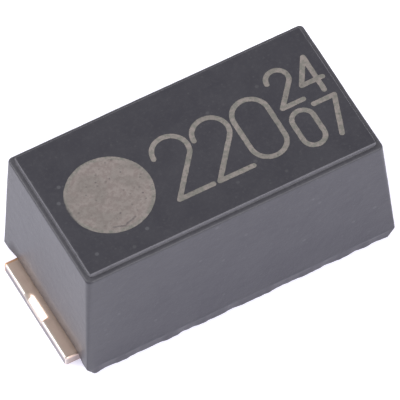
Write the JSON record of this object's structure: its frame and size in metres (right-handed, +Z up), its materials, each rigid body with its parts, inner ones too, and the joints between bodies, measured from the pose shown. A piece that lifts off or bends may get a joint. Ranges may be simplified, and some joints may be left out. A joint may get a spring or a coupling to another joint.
{
  "type": "moulded tantalum chip capacitor",
  "caption": "Moulded tantalum chip capacitor with face-down end terminals, a stepped drafted epoxy case, a polarity disc and its element inside.",
  "frame": {"origin": "middle of the base, in the plane of the two solder pads", "axes": "+X from the marked anode end to the cathode end, +Z up from the board, +Y towards the tops of the digits"},
  "size_m": [0.0033, 0.0016, 0.0015],
  "materials": {
    "moulding_compound": "fine spark-eroded mould texture, dark cool grey, a little smoother on top",
    "plated_lead": "matte tin plating over a copper alloy, warm at the cut edges",
    "riser_metal": "sheared bright metal",
    "tantalum_wire": "drawn blue-grey wire",
    "fluoropolymer": "waxy white",
    "sintered_tantalum": "porous, matte, dark grey",
    "solid_electrolyte": "matte blue-black coat",
    "graphite": "soft black with a faint sheen",
    "silver_paint": "satin dipped silver paint",
    "silver_glue": "dull silver paste",
    "burnt_mark": "laser-burnt skin, warm pale grey, mottled"
  },
  "bodies": {
    "root": {"case": "moulding_compound", "anode_terminal": "plated_lead", "cathode_terminal": "plated_lead", "anode_riser": "riser_metal", "anode_wire": "tantalum_wire", "wire_washer": "fluoropolymer", "tantalum_pellet": "sintered_tantalum", "electrolyte_coat": "solid_electrolyte", "carbon_coat": "graphite", "silver_coat": "silver_paint", "silver_adhesive": "silver_glue", "polarity_mark": "burnt_mark", "value_digits": "burnt_mark", "rating_digits": "burnt_mark"}
  },
  "joints": []
}
